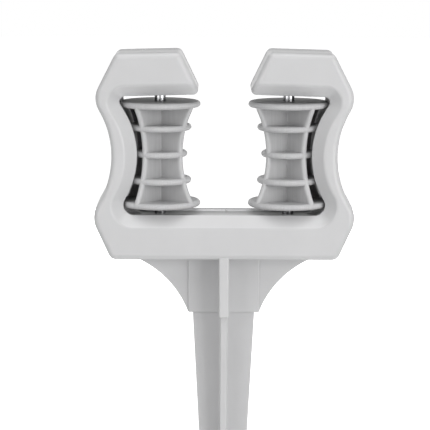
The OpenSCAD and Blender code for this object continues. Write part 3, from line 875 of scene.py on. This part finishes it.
def stake_mesh(name):
    """The cross-shaped blade from its seat down to its point, with the tenon and hooked head"""
    stake = place_of("hose_guide_stake")
    length_below = -STAKE_LOW.z
    shoulder = length_below - stake.point_l
    levels = [(stake.seat, stake.top_w), (0, stake.top_w), (-shoulder, stake.end_w),
              (-length_below, stake.tip_w)]
    rings = []
    for z, wide in levels:
        rings.append([(p.x, p.y, z) for p in cross_points(stake, wide / 2)])
    piece = new_piece(name, lofted(rings))
    half_w, half_t, hook_low = stake.tenon_w / 2, stake.tenon_t / 2, STAKE_HIGH.z - stake.hook_h
    combine(piece, [
        new_piece("tenon", block((-half_w, -half_t, stake.seat - MM), (half_w, half_t, hook_low))),
        new_piece("tenon", block((-half_t, -half_w, stake.seat - MM), (half_t, half_w, hook_low))),
        new_piece("hook", block((-half_w - stake.hook, -half_t, hook_low),
                                (half_w + stake.hook, half_t, STAKE_HIGH.z))),
    ], "UNION")
    return piece


def cross_points(stake, half_w):
    """A cross with filleted roots and rounded ends"""
    half_t, root, edge = stake.blade_t / 2, stake.root_r, stake.edge_r
    quarter, steps, smallest = math.pi / 2, 5, 1e-5
    edge = min(edge, half_t * 0.9, half_w - half_t if half_w > half_t else edge)
    points = []
    for k in range(4):
        out = ray(k * quarter)
        across = ray((k + 1) * quarter)
        a = k * quarter
        points += arc(out * (half_w - edge) - across * (half_t - edge), edge, a - quarter, a, steps)
        points += arc(out * (half_w - edge) + across * (half_t - edge), edge, a, a + quarter, steps)
        room = max(min(root, half_w - edge - half_t), smallest)
        centre = (out + across) * (half_t + room)
        points += arc(centre, room, a + 3 * quarter, a + 2 * quarter, steps)
    return points


class HOSEGUIDE_OT_front_shell(bpy.types.Operator):
    """Build the front half of the yoke, collar and gussets"""
    bl_idname = "hose_guide.front_shell"
    bl_label = "Front shell"

    def execute(self, context):
        piece = shell("front_shell_skin", True)
        plastic = moulded_plastic("shell_plastic_front", place_of("hose_guide_finish").shell,
                                  roughness=0.34, mirror=0.35, shades=SHELL_PAINTED_SHADE_AND_LIGHT)
        finish_piece(piece, "frame", plastic, ["front_shell"])
        return {"FINISHED"}


class HOSEGUIDE_OT_rear_shell(bpy.types.Operator):
    """Build the rear half of the yoke with its screw recesses and its gate mark"""
    bl_idname = "hose_guide.rear_shell"
    bl_label = "Rear shell"

    def execute(self, context):
        yoke = place_of("hose_guide_yoke")
        piece = shell("rear_shell_skin", False)
        wall_y = HALF_DEPTH - yoke.bevel - yoke.lip - yoke.groove_step / 2
        floor = yoke.collar_h + yoke.bar_h - yoke.groove / 2
        mark = revolved(GATE_PROFILE, Vector((GATE_X, wall_y, floor)), steps=24)
        combine(piece, [new_piece("gate_mark", mark)], "UNION")
        recess_r = screw_head_radius() + SCREW_PLAY
        recess_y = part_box("shell_screws")[0].y + RECESS_FLOOR
        cuts = [new_piece("recess", rod(place, recess_r, recess_y, recess_y + HALF_DEPTH))
                for place in screw_centres()]
        combine(piece, cuts, "DIFFERENCE")
        # Its colour is darker than the front shell's, as painted shade
        plastic = moulded_plastic("shell_plastic_rear_painted_shade", place_of("hose_guide_finish").rear_shell,
                                  roughness=0.36, mirror=0.12, shades=SHELL_PAINTED_SHADE_AND_LIGHT)
        finish_piece(piece, "frame", plastic, ["rear_shell"])
        return {"FINISHED"}


def screw_islands():
    """The loose solids of the screws' node as lists of points, in the same order at each run"""
    weld = 1e-6
    bm = bmesh.new()
    bm.from_mesh(frame["nodes"]["shell_screws"].data)
    bmesh.ops.remove_doubles(bm, verts=bm.verts, dist=weld)
    seen, islands = set(), []
    for first in bm.verts:
        if first in seen:
            continue
        seen.add(first)
        todo, found = [first], []
        while todo:
            v = todo.pop()
            found.append(v.co.copy())
            near = [w for w in (e.other_vert(v) for e in v.link_edges) if w not in seen]
            seen.update(near)
            todo += near
        islands.append(found)
    bm.free()
    return islands


def screw_centres():
    return [sum(points, Vector()) / len(points) for points in screw_islands()]


def screw_head_radius():
    points = screw_islands()[0]
    return (max(p.x for p in points) - min(p.x for p in points)) / 2


class HOSEGUIDE_OT_rollers(bpy.types.Operator):
    """Build the two finned hourglass rollers"""
    bl_idname = "hose_guide.rollers"
    bl_label = "Rollers"

    def execute(self, context):
        rollers = place_of("hose_guide_rollers")
        plastic = moulded_plastic("roller_plastic", place_of("hose_guide_finish").roller,
                                  roughness=0.42, mirror=0.05, shades=ROLLER_PAINTED_SHADE_AND_STREAKS)
        for hand, side, turn in (("left", -1, rollers.left_turn), ("right", 1, rollers.right_turn)):
            piece = roller_mesh(hand + "_roller_skin", side, turn)
            finish_piece(piece, hand + "_roller_set", plastic, [hand + "_roller"])
        return {"FINISHED"}


class HOSEGUIDE_OT_pins(bpy.types.Operator):
    """Finish the two steel pins and the screws"""
    bl_idname = "hose_guide.pins"
    bl_label = "Pins and screws"

    def execute(self, context):
        finish = place_of("hose_guide_finish")
        steel = ground_steel("pin_steel", finish.steel, roughness=0.16, stretched=(900, 900, 12),
                             edge=finish.steel_edge)
        zinc = ground_steel("screw_zinc", finish.zinc, roughness=0.35, stretched=(900, 900, 900),
                            edge=finish.zinc)
        for node, material in (("left_axle_pin", steel), ("right_axle_pin", steel), ("shell_screws", zinc)):
            piece = frame["nodes"][node]
            piece.data.materials.clear()
            piece.data.materials.append(material)
        return {"FINISHED"}


class HOSEGUIDE_OT_stake(bpy.types.Operator):
    """Build the cross-shaped ground stake"""
    bl_idname = "hose_guide.stake"
    bl_label = "Ground stake"

    def execute(self, context):
        piece = stake_mesh("ground_stake_skin")
        plastic = moulded_plastic("stake_plastic", place_of("hose_guide_finish").stake,
                                  roughness=0.4, mirror=0.12)
        finish_piece(piece, "frame", plastic, ["ground_stake"])
        return {"FINISHED"}


class HOSEGUIDE_OT_studio(bpy.types.Operator):
    """Set up the floor, the softboxes, the world and the camera"""
    bl_idname = "hose_guide.studio"
    bl_label = "Studio"

    def execute(self, context):
        studio = place_of("hose_guide_studio")
        bm = bmesh.new()
        bmesh.ops.create_grid(bm, x_segments=1, y_segments=1, size=6)
        floor = new_piece("floor", bm)
        floor.location.z = STAKE_LOW.z
        floor.data.materials.append(pale_floor_paint("floor_paint", studio))
        aim = Vector((0, 0, HEAD_Z * 0.6))
        for name, azimuth, elevation, power, size in (
                ("right_softbox", 45, 5, studio.right_light, studio.lamp_size),
                ("left_softbox", -45, 5, studio.left_light, studio.lamp_size),
                ("high_softbox", 0, 62, studio.high_light, studio.high_size),
                ("back_softbox", 180, 5, studio.back_light, studio.lamp_size)):
            lamp = softbox(name, azimuth, elevation, power, size)
            lamp.location = aim + studio.lamp_distance * lamp.location
            # The lamp behind the object is kept out of reflections
            lamp.visible_glossy = azimuth < 90
        world = bpy.data.worlds.new("white_room")
        context.scene.world = world
        white_room(world, studio.world_light)
        camera = bpy.data.cameras.new("camera")
        camera.sensor_width = 36
        camera.lens = studio.camera_lens
        camera.clip_start = 0.01
        seen = bpy.data.objects.new("camera", camera)
        seen.location = studio.camera_place
        look = Matrix.Rotation(-studio.camera_yaw, 3, "Z")
        look @= Matrix.Rotation(math.pi / 2 - studio.camera_pitch, 3, "X")
        look @= Matrix.Rotation(studio.camera_roll, 3, "Z")
        seen.rotation_euler = look.to_euler()
        context.scene.collection.objects.link(seen)
        context.scene.camera = seen
        context.scene.view_settings.view_transform = "Standard"
        return {"FINISHED"}


def softbox(name, azimuth, elevation, power, size):
    """A square lamp a metre from the origin that faces it, azimuth counted from the front towards +X"""
    lamp = bpy.data.lights.new(name, "AREA")
    lamp.shape = "SQUARE"
    lamp.size = size
    lamp.energy = power
    held = bpy.data.objects.new(name, lamp)
    a, e = math.radians(azimuth), math.radians(elevation)
    towards = Vector((math.sin(a) * math.cos(e), -math.cos(a) * math.cos(e), math.sin(e)))
    held.location = towards
    held.rotation_euler = towards.to_track_quat("Z", "Y").to_euler()
    bpy.context.scene.collection.objects.link(held)
    return held


def white_room(world, strength):
    """White to the camera and in reflections, a plain grey light for everything else"""
    n = Nodes(world)
    white = (1, 1, 1, 1)
    dim = n.add("ShaderNodeBackground", Color=white, Strength=strength)
    bright = n.add("ShaderNodeBackground", Color=white, Strength=1.0)
    by_ray(n, n.add("ShaderNodeOutputWorld"), dim, bright)


class HOSEGUIDE_PT_panel(bpy.types.Panel):
    """The hose guide's steps and sizes"""
    bl_label = "Hose guide stake"
    bl_idname = "HOSEGUIDE_PT_panel"
    bl_space_type = "VIEW_3D"
    bl_region_type = "UI"
    bl_category = "Hose Guide"

    def draw(self, context):
        for group in GROUPS:
            box = self.layout.box()
            for prop in GROUPS[group].__annotations__:
                box.prop(getattr(context.scene, group), prop)
        for step in STEPS:
            self.layout.operator(step.bl_idname)


GROUPS = {
    "hose_guide_yoke": YokeSizes,
    "hose_guide_rollers": RollerSizes,
    "hose_guide_stake": StakeSizes,
    "hose_guide_finish": FinishColours,
    "hose_guide_studio": StudioSizes,
}
STEPS = (
    HOSEGUIDE_OT_front_shell,
    HOSEGUIDE_OT_rear_shell,
    HOSEGUIDE_OT_rollers,
    HOSEGUIDE_OT_pins,
    HOSEGUIDE_OT_stake,
    HOSEGUIDE_OT_studio,
)


def register():
    for cls in (*GROUPS.values(), *STEPS, HOSEGUIDE_PT_panel):
        bpy.utils.register_class(cls)
    for group, cls in GROUPS.items():
        setattr(bpy.types.Scene, group, PointerProperty(type=cls))


def unregister():
    for group in GROUPS:
        delattr(bpy.types.Scene, group)
    for cls in reversed((*GROUPS.values(), *STEPS, HOSEGUIDE_PT_panel)):
        bpy.utils.unregister_class(cls)


def main():
    register()
    for step in STEPS:
        family, name = step.bl_idname.split(".")
        getattr(getattr(bpy.ops, family), name)()


if __name__ == "__main__":
    main()
